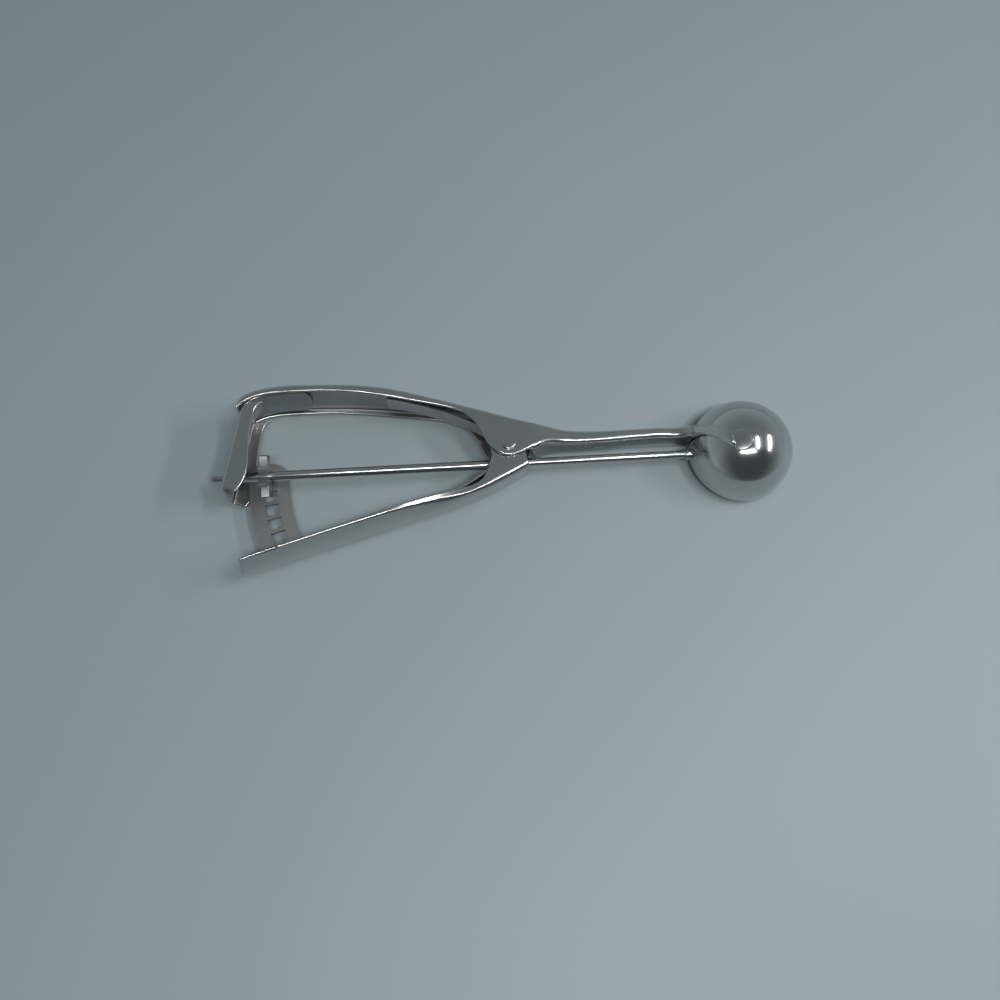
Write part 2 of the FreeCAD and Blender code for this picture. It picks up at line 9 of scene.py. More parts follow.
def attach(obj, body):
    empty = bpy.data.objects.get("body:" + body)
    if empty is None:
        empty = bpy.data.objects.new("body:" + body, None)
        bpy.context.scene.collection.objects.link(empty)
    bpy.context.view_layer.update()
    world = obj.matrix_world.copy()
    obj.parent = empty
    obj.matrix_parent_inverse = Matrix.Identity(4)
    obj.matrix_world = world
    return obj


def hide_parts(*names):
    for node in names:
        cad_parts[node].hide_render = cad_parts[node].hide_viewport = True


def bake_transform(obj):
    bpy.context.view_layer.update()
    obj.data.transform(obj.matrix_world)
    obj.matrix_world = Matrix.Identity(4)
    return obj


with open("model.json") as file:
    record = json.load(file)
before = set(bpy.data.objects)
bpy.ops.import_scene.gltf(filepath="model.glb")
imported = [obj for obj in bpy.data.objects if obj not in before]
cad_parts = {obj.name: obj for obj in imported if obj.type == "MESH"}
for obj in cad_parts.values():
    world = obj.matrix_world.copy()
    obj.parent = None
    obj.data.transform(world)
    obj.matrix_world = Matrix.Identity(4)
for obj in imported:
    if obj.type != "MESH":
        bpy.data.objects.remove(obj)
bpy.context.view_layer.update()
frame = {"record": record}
print("frame loaded")

mm = 0.001
home = np.array([77.25, 1.8018, 8.75])  # the bowl's centre in the row's frame, in mm


# Shader node helpers

def addNode(tree, kind, place=(0, 0), **settings):
    node = tree.nodes.new(kind)
    node.location = place
    for name, value in settings.items():
        setattr(node, name, value)
    return node


def mathNode(tree, operation, first, second=None, clamp=False):
    node = addNode(tree, "ShaderNodeMath", operation=operation, use_clamp=clamp)
    for socket, value in zip(node.inputs, (first, second)):
        if value is None:
            continue
        if isinstance(value, (int, float)):
            socket.default_value = value
        else:
            tree.links.new(value, socket)
    return node.outputs[0]


def mixColour(tree, factor, first, second):
    node = addNode(tree, "ShaderNodeMix", data_type="RGBA")
    for socket, value in zip((node.inputs[0], node.inputs[6], node.inputs[7]), (factor, first, second)):
        if isinstance(value, (int, float)):
            socket.default_value = value
        elif isinstance(value, tuple):
            socket.default_value = (*value, 1.0)
        else:
            tree.links.new(value, socket)
    return node.outputs[2]


def newGroup(name, inputs, outputs):
    tree = bpy.data.node_groups.new(name, "ShaderNodeTree")
    for label, kind, value in inputs:
        socket = tree.interface.new_socket(label, in_out="INPUT", socket_type=kind)
        if value is not None:
            socket.default_value = value
    for label, kind in outputs:
        tree.interface.new_socket(label, in_out="OUTPUT", socket_type=kind)
    return tree, addNode(tree, "NodeGroupInput", (-800, 0)), addNode(tree, "NodeGroupOutput", (800, 0))


def noise(tree, vector, scale, detail=3.0, rough=0.5):
    node = addNode(tree, "ShaderNodeTexNoise")
    node.inputs["Detail"].default_value = detail
    node.inputs["Roughness"].default_value = rough
    for socket, value in ((node.inputs["Vector"], vector), (node.inputs["Scale"], scale)):
        if isinstance(value, (int, float)):
            socket.default_value = value
        else:
            tree.links.new(value, socket)
    return node.outputs["Fac"]


def stretched(tree, vector, factors):
    node = addNode(tree, "ShaderNodeVectorMath", operation="MULTIPLY")
    tree.links.new(vector, node.inputs[0])
    node.inputs[1].default_value = factors
    return node.outputs[0]


def band(tree, value, low, high):
    node = addNode(tree, "ShaderNodeMapRange", clamp=True)
    tree.links.new(value, node.inputs[0])
    node.inputs[1].default_value = low
    node.inputs[2].default_value = high
    return node.outputs[0]


# Scratches: thin bands of noises drawn out along three crossing directions, where a slow noise lets them show
def makeScratchGroup():
    tree, source, sink = newGroup("fineScratches", [("Vector", "NodeSocketVector", None),
                                                    ("Amount", "NodeSocketFloat", 0.5)],
                                  [("Height", "NodeSocketFloat"), ("Mask", "NodeSocketFloat")])
    scratch = {
        "turnAndScale": ((12, 900), (-28, 700), (75, 800)),
        "tip": (0.3, 0.2),          # turns about X and Y, so that no face gets dots only
        "stretch": (0.04, 1.0, 1.0),
        "line": (0.66, 0.74),
        "patchScale": 120.0,
        "patch": (0.45, 0.62),
    }
    total = None
    for turn, scale in scratch["turnAndScale"]:
        mapping = addNode(tree, "ShaderNodeMapping")
        tree.links.new(source.outputs["Vector"], mapping.inputs["Vector"])
        mapping.inputs["Rotation"].default_value = (*scratch["tip"], math.radians(turn))
        lines = noise(tree, stretched(tree, mapping.outputs[0], scratch["stretch"]), scale, 2.0)
        patches = noise(tree, source.outputs["Vector"], scratch["patchScale"], 1.0)
        shown = band(tree, patches, *scratch["patch"])
        thin = mathNode(tree, "MULTIPLY", band(tree, lines, *scratch["line"]), shown)
        total = thin if total is None else mathNode(tree, "MAXIMUM", total, thin)
    mask = mathNode(tree, "MULTIPLY", total, source.outputs["Amount"], clamp=True)
    tree.links.new(mask, sink.inputs["Mask"])
    tree.links.new(mathNode(tree, "MULTIPLY", mask, -1.0), sink.inputs["Height"])
    return tree


# Polishing grain: fine noise drawn out along X, stronger and weaker in slow patches
def makeGrainGroup():
    tree, source, sink = newGroup("polishGrain", [("Vector", "NodeSocketVector", None),
                                                  ("Scale", "NodeSocketFloat", 1500.0),
                                                  ("Amount", "NodeSocketFloat", 0.5)],
                                  [("Height", "NodeSocketFloat"), ("Tone", "NodeSocketFloat")])
    grain = {"stretch": (0.05, 1.0, 1.0), "slowScale": 60.0, "slow": (0.25, 0.75)}
    drawn = stretched(tree, source.outputs["Vector"], grain["stretch"])
    fine = noise(tree, drawn, source.outputs["Scale"], 3.0)
    slow = noise(tree, source.outputs["Vector"], grain["slowScale"], 2.0)
    strength = mathNode(tree, "MULTIPLY", source.outputs["Amount"], band(tree, slow, *grain["slow"]))
    tree.links.new(mathNode(tree, "MULTIPLY", fine, strength), sink.inputs["Height"])
    tree.links.new(fine, sink.inputs["Tone"])
    return tree


# Handling marks: soft cloudy patches, and small round water spots where a slow noise is high
def makeSmudgeGroup():
    tree, source, sink = newGroup("handlingSmudges", [("Vector", "NodeSocketVector", None),
                                                      ("Scale", "NodeSocketFloat", 90.0),
                                                      ("Amount", "NodeSocketFloat", 0.5)],
                                  [("Mask", "NodeSocketFloat"), ("Spots", "NodeSocketFloat")])
    smudge = {
        "cloud": (0.42, 0.72),
        "spotScale": 330.0,
        "spot": (0.16, 0.08),       # from outside a spot to inside it
        "rareScale": 150.0,
        "rare": (0.56, 0.66),
    }
    soft = noise(tree, source.outputs["Vector"], source.outputs["Scale"], 4.0, 0.6)
    cloud = band(tree, soft, *smudge["cloud"])
    cells = addNode(tree, "ShaderNodeTexVoronoi", feature="F1")
    tree.links.new(source.outputs["Vector"], cells.inputs["Vector"])
    cells.inputs["Scale"].default_value = smudge["spotScale"]
    rare = band(tree, noise(tree, source.outputs["Vector"], smudge["rareScale"], 1.0), *smudge["rare"])
    ring = band(tree, cells.outputs["Distance"], *smudge["spot"])
    tree.links.new(mathNode(tree, "MULTIPLY", cloud, source.outputs["Amount"]), sink.inputs["Mask"])
    spots = mathNode(tree, "MULTIPLY", mathNode(tree, "MULTIPLY", ring, rare), source.outputs["Amount"])
    tree.links.new(spots, sink.inputs["Spots"])
    return tree


scratchGroup = makeScratchGroup()
grainGroup = makeGrainGroup()
smudgeGroup = makeSmudgeGroup()


wear = {
    "smudgeScale": 90.0,
    "smudgeShare": 0.5,
    "spotShare": 0.5,
    "grainTone": 0.9,           # how much of the colour is left in the grain's dark lines
    "wornRough": 0.18,
    "scratchRough": 0.15,
    "bumpDepth": 0.00002,       # m
}


# Bare steel: colour from grain and smudges, roughness = rough + 0.18 worn + 0.15 scratches, bump from grain and
# scratches. Worn is the sum of smudges and water spots
def steel(name, colour, dark, rough, grain, grainScale, scratches, smudges, bump):
    material = bpy.data.materials.new(name)
    material.use_nodes = True
    tree = material.node_tree
    tree.nodes.clear()
    out = addNode(tree, "ShaderNodeOutputMaterial", (900, 0))
    shader = addNode(tree, "ShaderNodeBsdfPrincipled", (600, 0))
    tree.links.new(shader.outputs[0], out.inputs[0])
    vector = addNode(tree, "ShaderNodeTexCoord", (-900, 0)).outputs["Object"]

    def group(which, **values):
        node = addNode(tree, "ShaderNodeGroup", node_tree=which)
        tree.links.new(vector, node.inputs["Vector"])
        for label, value in values.items():
            node.inputs[label].default_value = value
        return node.outputs

    fine = group(grainGroup, Scale=grainScale, Amount=grain)
    marks = group(scratchGroup, Amount=scratches)
    smudge = group(smudgeGroup, Scale=wear["smudgeScale"], Amount=smudges)
    worn = mathNode(tree, "ADD", mathNode(tree, "MULTIPLY", smudge["Mask"], wear["smudgeShare"]),
                    mathNode(tree, "MULTIPLY", smudge["Spots"], wear["spotShare"]), clamp=True)
    toned = mixColour(tree, fine["Tone"], colour, tuple(wear["grainTone"] * c for c in colour))
    tree.links.new(mixColour(tree, worn, toned, dark), shader.inputs["Base Color"])
    roughness = mathNode(tree, "ADD", rough, mathNode(tree, "MULTIPLY", worn, wear["wornRough"]))
    scratched = mathNode(tree, "MULTIPLY", marks["Mask"], wear["scratchRough"])
    roughness = mathNode(tree, "ADD", roughness, scratched, clamp=True)
    tree.links.new(roughness, shader.inputs["Roughness"])
    shader.inputs["Metallic"].default_value = 1.0
    bumpNode = addNode(tree, "ShaderNodeBump", (300, -300))
    bumpNode.inputs["Distance"].default_value = wear["bumpDepth"]
    bumpNode.inputs["Strength"].default_value = bump
    height = mathNode(tree, "ADD", fine["Height"], marks["Height"])
    tree.links.new(height, bumpNode.inputs["Height"])
    tree.links.new(bumpNode.outputs[0], shader.inputs["Normal"])
    return material


# Each finish: colour, worn colour, roughness, grain and its scale, scratches, smudges, bump
finishes = {
    "handle_steel": steel("polishedHandle", (0.56, 0.57, 0.57), (0.40, 0.40, 0.39), 0.2, 0.5, 1500, 0.6, 0.5, 0.3),
    "bowl_steel": steel("mirrorBowl", (0.58, 0.59, 0.60), (0.44, 0.45, 0.45), 0.12, 0.2, 1100, 0.5, 0.45, 0.2),
    "rod_steel": steel("drawnRod", (0.58, 0.58, 0.58), (0.40, 0.40, 0.40), 0.18, 0.5, 2500, 0.3, 0.4, 0.4),
    "gear_steel": steel("stampedSatin", (0.42, 0.43, 0.43), (0.3, 0.3, 0.3), 0.42, 0.8, 1800, 0.6, 0.6, 0.5),
    "blade_steel": steel("thinStrip", (0.56, 0.56, 0.57), (0.42, 0.42, 0.42), 0.26, 0.7, 1500, 0.4, 0.4, 0.5),
    "spring_steel": steel("springStrip", (0.46, 0.46, 0.47), (0.3, 0.3, 0.3), 0.28, 0.7, 1700, 0.4, 0.5, 0.5),
    "fitting_steel": steel("turnedSteel", (0.56, 0.57, 0.57), (0.4, 0.4, 0.4), 0.2, 0.6, 2000, 0.4, 0.4, 0.4),
}
# Channels' insides: a rougher steel whose colour is darkened as painted shade, for the shade inside the channels
dullShadedChannelInside = steel("dullShadedChannelInside", (0.36, 0.365, 0.37), (0.24, 0.24, 0.235), 0.36, 0.8, 1300, 0.6, 0.8, 0.6)
subparts = frame["record"]["subparts"]
slotOf = {entry["node"]: entry["material_slot"] for entry in subparts}
for node, slotName in slotOf.items():
    kept = bpy.data.objects[node]
    for slot in kept.material_slots:
        slot.material = finishes[slotName]
    if not kept.material_slots:
        kept.data.materials.append(finishes[slotName])
bodyOf = {node: name for name, nodes in frame["record"]["behaviour"]["bodies"].items() for node in nodes}
print("materials made")


# Surfaces: grids of points in mm from the bowl's centre, rows along the path and columns across it

# Natural cubic spline over chord length, S = a + b u + c u^2 + d u^3 on each run, at the given shares of its length
def curveThrough(points, where):
    p = np.asarray(points, float)
    t = np.concatenate([[0.0], np.cumsum(np.linalg.norm(np.diff(p, axis=0), axis=1))])
    h = np.diff(t)
    i = np.arange(1, len(p) - 1)
    left, right = np.eye(len(p)), np.zeros_like(p)
    left[i, i - 1], left[i, i], left[i, i + 1] = h[:-1], 2 * (h[:-1] + h[1:]), h[1:]
    slopes = np.diff(p, axis=0) / h[:, None]
    right[1:-1] = 6 * np.diff(slopes, axis=0)
    m = np.linalg.solve(left, right)
    s = np.asarray(where, float) * t[-1]
    k = np.clip(np.searchsorted(t, s, side="right") - 1, 0, len(p) - 2)
    u, run = (s - t[k])[:, None], h[k][:, None]
    return (p[k] + (slopes[k] - run * (2 * m[k] + m[k + 1]) / 6) * u + m[k] / 2 * u ** 2
            + (m[k + 1] - m[k]) / (6 * run) * u ** 3)


def unit(vectors):
    return vectors / np.maximum(np.linalg.norm(vectors, axis=-1, keepdims=True), 1e-12)


def easeIn(x, start, end):
    u = np.clip((x - start) / (end - start), 0, 1)
    return u * u * (3 - 2 * u)


# Square bends in a strip: straight runs joined by quarter turns, all to the right, as the sum over its pieces of the
# way travelled in each. A turn of radius r from heading a gives r (sin a - sin(a - s/r), cos(a - s/r) - cos a)
def bentPath(start, heading, lengths, radii, shares):
    rows = len(start)
    radii = [np.maximum(np.broadcast_to(r, rows), 1e-4) for r in radii]
    pieces = []
    for number, length in enumerate(lengths):
        before = radii[number - 1] if number else 0.0
        after = radii[number] if number < len(radii) else 0.0
        pieces.append((None, np.maximum(np.broadcast_to(length, rows) - before - after, 1e-4), heading))
        if number < len(radii):
            pieces.append((radii[number], radii[number] * math.pi / 2, heading))
            heading -= math.pi / 2
    total = sum(piece[1] for piece in pieces)
    travel = total[:, None] * shares[None, :]
    place = np.repeat(np.asarray(start, float)[:, None, :], len(shares), axis=1)
    gone = np.zeros(rows)
    for radius, length, turn in pieces:
        here = np.clip(travel - gone[:, None], 0, length[:, None])
        if radius is None:
            place += here[..., None] * np.array([math.cos(turn), math.sin(turn)])
        else:
            angle = turn - here / radius[:, None]
            swing = np.stack([math.sin(turn) - np.sin(angle), np.cos(angle) - math.cos(turn)], axis=-1)
            place += radius[:, None, None] * swing
        gone = gone + length
    return place


# Closed skin round a middle surface M with normal N: M + N t/2 and M - N t/2, joined by half-round rims. The faces
# on the dull side, 1 for N and -1 for its back, are marked for the second finish, a rougher steel darkened as
# painted shade
def sheetSkin(middle, thickness, dullShadedSide=0, rim=3):
    half = thickness / 2
    endAngles = (0.4, 0.8, 1.2)     # steps of the end rows' quarter rounds
    along = unit(np.gradient(middle, axis=0))
    across = unit(np.gradient(middle, axis=1))
    normal = unit(np.cross(along, across))
    turn = np.linspace(0, math.pi, rim + 2)[1:-1][None, :, None]
    last = middle[:, -1:] + half * (np.cos(turn) * normal[:, -1:] + np.sin(turn) * across[:, -1:])
    first = middle[:, :1] - half * (np.cos(turn) * normal[:, :1] + np.sin(turn) * across[:, :1])
    ring = np.concatenate([middle + half * normal, last, (middle - half * normal)[:, ::-1], first], axis=1)
    core = np.concatenate([middle, np.repeat(middle[:, -1:], rim, 1), middle[:, ::-1],
                           np.repeat(middle[:, :1], rim, 1)], axis=1)
    columns = middle.shape[1]
    back = np.concatenate([along, np.repeat(along[:, -1:], rim, 1), along[:, ::-1],
                           np.repeat(along[:, :1], rim, 1)], axis=1)
    ends = []
    for row, side in ((0, -1), (-1, 1)):
        ends.append([core[row] + (ring[row] - core[row]) * math.cos(a) + side * half * math.sin(a) * back[row]
                     for a in endAngles])
    rows = np.concatenate([np.array(ends[0][::-1]), ring, np.array(ends[1])])
    count, around = rows.shape[:2]
    index = np.arange(count * around).reshape(count, around)
    nxt = np.roll(index, -1, axis=1)
    faces = np.stack([index[:-1], nxt[:-1], nxt[1:], index[1:]], axis=-1).reshape(-1, 4).tolist()
    column = np.tile(np.arange(around), count - 1)
    front, behind = column < columns - 1, (column >= columns + rim) & (column < 2 * columns + rim - 1)
    marks = (front if dullShadedSide > 0 else behind if dullShadedSide < 0 else column < 0).astype(int).tolist()
    i = np.arange(columns - 1)
    for row, flip in ((0, False), (count - 1, True)):
        base = row * around
        caps = np.stack([base + i + 1, base + 2 * columns + rim - 2 - i, base + 2 * columns + rim - 1 - i, base + i],
                        axis=-1)
        ears = [[base + columns - 1 + j for j in range(rim + 2)],
                [base + 2 * columns + rim - 1 + j for j in range(rim + 1)] + [base]]
        for face in caps.tolist() + ears:
            faces.append(face if flip else face[::-1])
            marks.append(0)
    return rows.reshape(-1, 3), faces, marks


# Surface of revolution: each profile point (along, radius) goes round the axis through the centre
def spun(profile, axis, centre, steps=96):
    p = np.asarray(profile, float)
    angle = np.arange(steps) * 2 * math.pi / steps
    along = np.repeat(p[:, :1], steps, 1)
    first, second = p[:, 1:] * np.cos(angle), p[:, 1:] * np.sin(angle)
    order = {"x": (along, first, second), "y": (second, along, first), "z": (first, second, along)}[axis]
    points = np.stack(order, axis=-1) + np.asarray(centre, float)
    index = np.arange(len(p) * steps).reshape(len(p), steps)
    nxt = np.roll(index, -1, axis=1)
    faces = np.stack([index[:-1], nxt[:-1], nxt[1:], index[1:]], axis=-1).reshape(-1, 4).tolist()
    return points.reshape(-1, 3), faces


# Rounds each corner B of a profile of straight runs between points S and E beside it, with the curve
# (1 - u)^2 S + 2 u (1 - u) B + u^2 E
def roundProfile(corners, radius, steps=4, share=0.45):
    out = [corners[0]]
    for a, b, c in zip(corners[:-2], corners[1:-1], corners[2:]):
        a, b, c = (np.asarray(v, float) for v in (a, b, c))
        r = min(radius, np.linalg.norm(a - b) * share, np.linalg.norm(c - b) * share)
        start, end = b + unit(a - b) * r, b + unit(c - b) * r
        for u in np.linspace(0, 1, steps):
            out.append(tuple((1 - u) ** 2 * start + 2 * u * (1 - u) * b + u * u * end))
    return out + [corners[-1]]


# One closed mesh in metres in the row's frame, its doubles merged and its faces turned outwards
def makePiece(name, parts, node, sharp=None):
    mesh = bpy.data.meshes.new(name)
    work = bmesh.new()
    for points, faces, *marks in parts:
        place = ((np.asarray(points) + home) * mm).tolist()
        verts = [work.verts.new(p) for p in place]
        made = [work.faces.new([verts[i] for i in face]) for face in faces]
        for face, mark in zip(made, marks[0] if marks else []):
            face.material_index = mark
        bmesh.ops.remove_doubles(work, verts=verts, dist=1e-7)
        work.normal_update()
        volume = sum(f.calc_area() * f.normal.dot(f.calc_center_median()) for f in made if f.is_valid)
        if volume < 0:
            bmesh.ops.reverse_faces(work, faces=[f for f in made if f.is_valid])
    work.to_mesh(mesh)
    work.free()
    mesh.shade_smooth()
    if sharp:
        mesh.set_sharp_from_angle(angle=math.radians(sharp))
    mesh.materials.append(finishes[slotOf[node]])
    # The second material is the channels' insides: rougher steel, darkened as painted shade
    mesh.materials.append(dullShadedChannelInside)
    piece = bpy.data.objects.new(name, mesh)
    bpy.context.collection.objects.link(piece)
    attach(piece, bodyOf[node])
    return piece


grip = {
    "halfDepth": 8.75,
    "earHalfDepth": 6.2,
    "lowerEarHalfDepth": 5.05,
    "sheet": 1.0,
    "taperFrom": -130,
    "taperLength": 40,
    "neckFrom": -71.5,
    "neckLength": 16.5,
    "taperSteps": 65,
}
bowl = {"radius": 17.0, "wall": 0.8, "skirt": 2.0, "quarterSteps": 60, "rimSteps": 9, "bandShare": 0.4,
        "steps": 192}


# The grip's depth along X: flat grip, taper, flat ears, and where there is a neck, taper and flat. A taper is the
# spline x = 1.5 u (1 - u) + u^3, depth = 3 u^2 - 2 u^3
def halfDepth(x, neck=None):
    u = np.linspace(0, 1, grip["taperSteps"])
    way, rise = 1.5 * u * (1 - u) + u ** 3, 3 * u ** 2 - 2 * u ** 3
    ear = grip["earHalfDepth"] if neck else grip["lowerEarHalfDepth"]
    taper = np.interp((x - grip["taperFrom"]) / grip["taperLength"], way, rise)
    depth = grip["halfDepth"] + (ear - grip["halfDepth"]) * taper
    if neck:
        depth = depth + (neck - ear) * np.interp((x - grip["neckFrom"]) / grip["neckLength"], way, rise)
    return depth


# Upper handle: its web line and free edge are two splines, and between them runs a channel with round bends, whose
# far flange runs out at the ear while a lower wall grows, so that the neck is a hood. Its front end is draped on the
# dome, z = max(z, sqrt(R^2 - x^2 - y^2) + t/2)
def makeUpperHandle():
    shape = {
        "web": [(-163.4, 21.2), (-162.3, 24.1), (-158.8, 26.2), (-142.0, 27.9), (-120.0, 26.4), (-97.0, 21.0),
                (-76.0, 14.0), (-60.0, 9.7), (-42.0, 8.7), (-20.0, 8.4), (-17.0, 7.9), (-12.6, 5.4), (-8.2, 0.9)],
        "edge": [(-162.9, 21.0), (-159.6, 23.2), (-155.0, 24.6), (-146.0, 25.1), (-136.0, 25.0), (-122.0, 23.5),
                 (-108.0, 20.9), (-97.0, 18.5), (-91.0, 15.8), (-87.3, 11.4), (-85.2, 6.3), (-82.4, 2.4),
                 (-78.0, 0.6), (-74.0, 1.5), (-71.5, 2.5), (-69.2, 2.9), (-66.5, 4.1), (-61.0, 4.7), (-45.0, 4.7),
                 (-20.0, 4.8), (-17.0, 4.2), (-12.6, 0.2), (-8.2, -4.3)],
        "neck": 4.15,
        "bend": 1.5,            # outside radius at the web
        "neckBend": 1.3,
        "tongue": (-5.7, -2.9, 3.6),    # centre and radius of its round end
        "tipRows": (-8.0, 26),
        "tipShare": 0.985,
        "tipBlend": (-8.4, -6.2),
        "tipFall": -1.0,
        "tipNarrower": 0.6,
        "wallGrows": (-71.6, -67.2),
        "hoodTop": [(-34.0, 4.15), (-27.0, 4.15), (-21.0, 4.35), (-17.0, 6.9), (-12.6, 12.6), (-9.6, 16.1),
                    (-8.4, 16.8), (-7.5, 15.2), (-7.1, 14.0)],
        "hoodFoot": [(-20, -4.15), (-17, -3.15), (-12.6, 0), (-8.4, 2), (-7.4, 14.5)],
        "overDome": 0.2,
        "drapeGap": 0.02,
        "drape": (-16.5, -15.0),
        "leastWidth": 0.25,
        "leastRise": 0.05,
        "mostLift": 1.2,
        "bendShare": 0.8,       # most of a flange that its bend takes
        "wallShare": 0.45,      # most of the hood's top and of its wall that one bend takes
        "riseShare": 0.5,
        "unlimited": 10,
        "stations": [(-163.1, -157, 30), (-157, -95, 80), (-95, -64, 110), (-64, -20, 50), (-20, -8.2, 50)],
        "splineSteps": 4000,
        "columns": 110,
    }
    t = grip["sheet"]
    x = np.unique(np.concatenate([np.linspace(*run) for run in shape["stations"]]))
    fine = np.linspace(0, 1, shape["splineSteps"])
    web = curveThrough(shape["web"], fine)
    edge = curveThrough(shape["edge"], fine)
    high = np.interp(x, web[:, 0], web[:, 1])
    slope = np.gradient(high, x)
    low = np.interp(x, edge[:, 0], edge[:, 1])
    lift = np.minimum(t / 2 * np.sqrt(1 + slope ** 2), shape["mostLift"])
    high = high - lift
    cx, cy, r = shape["tongue"]
    tipStart, tipRows = shape["tipRows"]
    tipX = np.linspace(tipStart, cx + r * shape["tipShare"], tipRows)
    tipHalf = np.sqrt(np.maximum(r * r - (tipX - cx) ** 2, 0.01)) - t / 2 * shape["tipNarrower"]
    mix = easeIn(tipX, *shape["tipBlend"])
    tipHigh = (high[-1] + (tipX - x[-1]) * slope[-1]) * (1 - mix) + (cy + tipHalf) * mix
    tipLow = (low[-1] + (tipX - x[-1]) * shape["tipFall"]) * (1 - mix) + (cy - tipHalf) * mix
    x = np.concatenate([x, tipX])
    high = np.concatenate([high, tipHigh])
    low = np.concatenate([low, tipLow])
    climb = curveThrough(shape["hoodTop"], fine)
    flat = x < shape["hoodTop"][0][0]
    top = np.where(flat, halfDepth(x, shape["neck"]), np.interp(x, climb[:, 0], climb[:, 1])) - t / 2
    flat = x < shape["hoodFoot"][0][0]
    foot = np.interp(x, *zip(*shape["hoodFoot"]))
    foot[flat] = -halfDepth(x[flat], shape["neck"]) + t / 2
    width = np.maximum(high - low - t / 2, shape["leastWidth"])
    inHood = easeIn(x, *shape["wallGrows"])
    under = [(bowl["radius"] + shape["overDome"]) ** 2 - x ** 2 - side ** 2 for side in (high, low)]
    # Beside the dome there is nothing to stop at
    domeHigh, domeLow = (np.where(square > 0, np.sqrt(np.maximum(square, 0)), -math.inf) for square in under)
    floor = np.maximum(foot, np.minimum(domeHigh, top - shape["leastRise"]))
    lowFloor = np.maximum(foot, np.minimum(domeLow, top - shape["leastRise"]))
    farFlange = width * (1 - inHood)
    wall = (top - lowFloor) * inHood
    rise = top - floor
    most, part = shape["bendShare"], shape["wallShare"]
    bend = np.minimum(np.minimum(shape["bend"] - t / 2, width * most), rise * part)
    rounds = [np.minimum(bend, farFlange * most), np.minimum(bend, width * part + shape["unlimited"] * (1 - inHood)),
              np.minimum(np.minimum(shape["neckBend"] - t / 2, wall * shape["riseShare"]), width * part)]
    shares = np.linspace(0, 1, shape["columns"])
    start = np.stack([farFlange, floor], axis=-1)
    path = bentPath(start, math.pi, [farFlange, rise, width, wall], rounds, shares)
    middle = np.stack([np.repeat(x[:, None], len(shares), 1), high[:, None] - path[..., 0], path[..., 1]], axis=-1)
    reach = bowl["radius"] + t / 2 + shape["drapeGap"]
    over = np.sqrt(np.maximum(reach ** 2 - middle[..., 0] ** 2 - middle[..., 1] ** 2, 0))
    seat = easeIn(middle[..., 0], *shape["drape"])
    draped = np.maximum(middle[..., 2], over * seat + middle[..., 2] * (1 - seat))
    middle[..., 2] = np.where(middle[..., 0] > shape["drape"][0], draped, middle[..., 2])
    piece = makePiece("upperHandleSheet", [sheetSkin(middle, t, 1)], "upper_handle")
    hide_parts("upper_handle")


# Channel between a web line and its flanges' free edge, both in the XY plane, matched row by row. The web bulges by
# crown (z / depth)^2 and meets the flanges z = +-depth in round bends
def channel(web, edge, depth, bend, wall, columns, dullShadedSide, crown=0.0, leastWidth=0.4, widthShare=0.8, depthShare=0.9):
    along = unit(np.gradient(web, axis=0))
    inward = np.stack([along[:, 1], -along[:, 0]], axis=-1)
    inward *= np.sign(np.sum(inward * (edge - web), axis=1))[:, None]
    middle = web + inward * wall / 2
    gap = edge - middle
    width = np.linalg.norm(gap, axis=1)
    across = gap / width[:, None]
    width = np.maximum(width - wall / 2, leastWidth)
    depth = depth - wall / 2
    bend = np.minimum(np.minimum(bend - wall / 2, width * widthShare), depth * depthShare)
    start = np.stack([width, -depth], axis=-1)
    path = bentPath(start, math.pi, [width, 2 * depth, width], [bend, bend], np.linspace(0, 1, columns))
    offset = path[..., 0] + (np.reshape(crown, (-1, 1)) * (path[..., 1] / depth[:, None]) ** 2
                             * (1 - path[..., 0] / width[:, None]))
    place = middle[:, None, :] + across[:, None, :] * offset[..., None]
    return sheetSkin(np.concatenate([place, path[..., 1:]], axis=-1), wall, dullShadedSide)


# Lower handle: the channel from its ear's round end, an arc about the rivet, along its edge spline to the rear
def makeLowerHandle():
    shape = {
        "web": [(-72.0, -3.1), (-80.0, -7.1), (-91.0, -11.9), (-110.0, -17.3), (-135.0, -24.0), (-161.6, -31.6)],
        "cap": (-78.2, 4.2, 5.6),       # centre and radius of the ear's round end
        "capTurn": (-12, 198),
        "edge": [(-85.3, -3.6), (-87.8, -7.0), (-95.0, -9.6), (-119.0, -16.5), (-140.0, -22.8), (-160.8, -29.0)],
        "bend": 2.7,            # outside radius along the grip
        "earBend": 2.0,
        "crown": 2.3,           # how far the web bulges between its bends
        "crownGrows": (84, 104),
        "frontStop": -72.2,
        "capRows": 60,
        "gripRows": 190,
        "columns": 90,
        "capShare": 0.13,       # share of the web's length that lies under the ear
    }
    turn = np.radians(np.linspace(*shape["capTurn"], shape["capRows"]))
    cx, cy, r = shape["cap"]
    cap = np.stack([cx + r * np.cos(turn), cy + r * np.sin(turn)], axis=-1)
    edge = curveThrough([cap[-1]] + shape["edge"], np.linspace(0, 1, shape["gripRows"]))[1:]
    edge = np.concatenate([cap, edge])
    edge[:, 0] = np.minimum(edge[:, 0], shape["frontStop"])
    reach = np.concatenate([np.linspace(0, shape["capShare"], shape["capRows"]),
                            np.linspace(shape["capShare"], 1, shape["gripRows"])[1:]])
    web = curveThrough(shape["web"], reach)
    ease = easeIn(-web[:, 0], *shape["crownGrows"])
    bend = shape["earBend"] + (shape["bend"] - shape["earBend"]) * ease
    depth = halfDepth(web[:, 0])
    skin = channel(web, edge, depth, bend, grip["sheet"], shape["columns"], 1, shape["crown"] * ease)
    piece = makePiece("lowerHandleSheet", [skin], "lower_handle")
    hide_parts("lower_handle")


